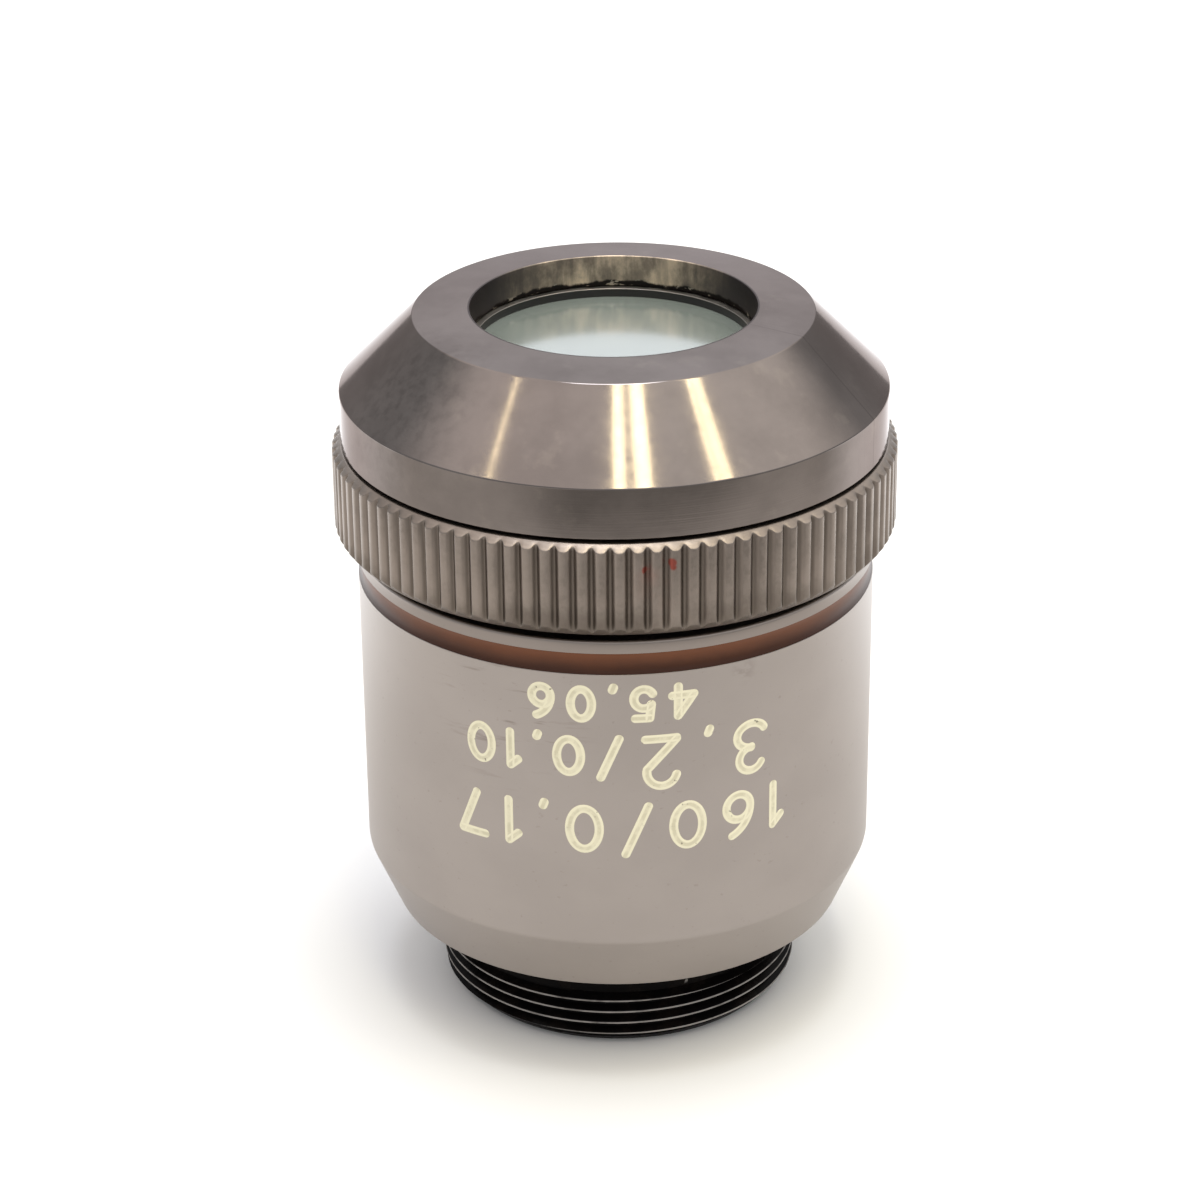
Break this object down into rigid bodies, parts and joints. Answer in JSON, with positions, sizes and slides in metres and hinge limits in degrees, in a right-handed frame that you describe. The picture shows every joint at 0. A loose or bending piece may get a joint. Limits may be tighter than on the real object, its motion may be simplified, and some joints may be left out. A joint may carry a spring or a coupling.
{
  "type": "microscope objective",
  "caption": "Low-power microscope objective: plated barrel with a colour band, turning knurled ring, conical nose over a wide front lens, and a standard screw thread behind.",
  "frame": {"origin": "centre of the thread's end face, which the objective stands on", "axes": "+Z runs along the optical axis from the thread to the front lens; the numbers on the barrel face -Y"},
  "size_m": [0.031, 0.031, 0.0405],
  "materials": {
    "black_brass": "glossy black",
    "satin_chrome": "satin chrome plate",
    "worn_plating": "dull worn plate",
    "brown_enamel": "enamel",
    "shim_brass": "bare",
    "cell_black": "black anodised",
    "coated_glass": "coated"
  },
  "bodies": {
    "objective": {"thread_mount": "black_brass", "barrel_sleeve": "satin_chrome", "colour_band": "brown_enamel", "parfocal_shim": "shim_brass", "lens_tube": "black_brass", "nose_cone": "worn_plating", "front_cell": "cell_black", "front_retaining_ring": "cell_black", "front_lens": "coated_glass", "second_lens": "coated_glass", "second_lens_ring": "cell_black", "cell_spacer": "cell_black", "meniscus_cell": "cell_black", "meniscus_crown": "coated_glass", "meniscus_flint": "coated_glass", "meniscus_ring": "cell_black", "aperture_stop": "cell_black", "rear_cell": "cell_black", "rear_flint": "coated_glass", "rear_crown": "coated_glass", "rear_lens_spacer": "cell_black", "rear_lens": "coated_glass", "rear_lens_ring": "cell_black", "rear_retaining_ring": "cell_black"},
    "ring": {"knurled_ring": "worn_plating"}
  },
  "joints": [
    {"name": "ring_turn", "type": "hinge", "parent": "objective", "child": "ring", "pos_m": [0, 0, 0.03053], "axis": [0, 0, 1], "continuous": true}
  ]
}
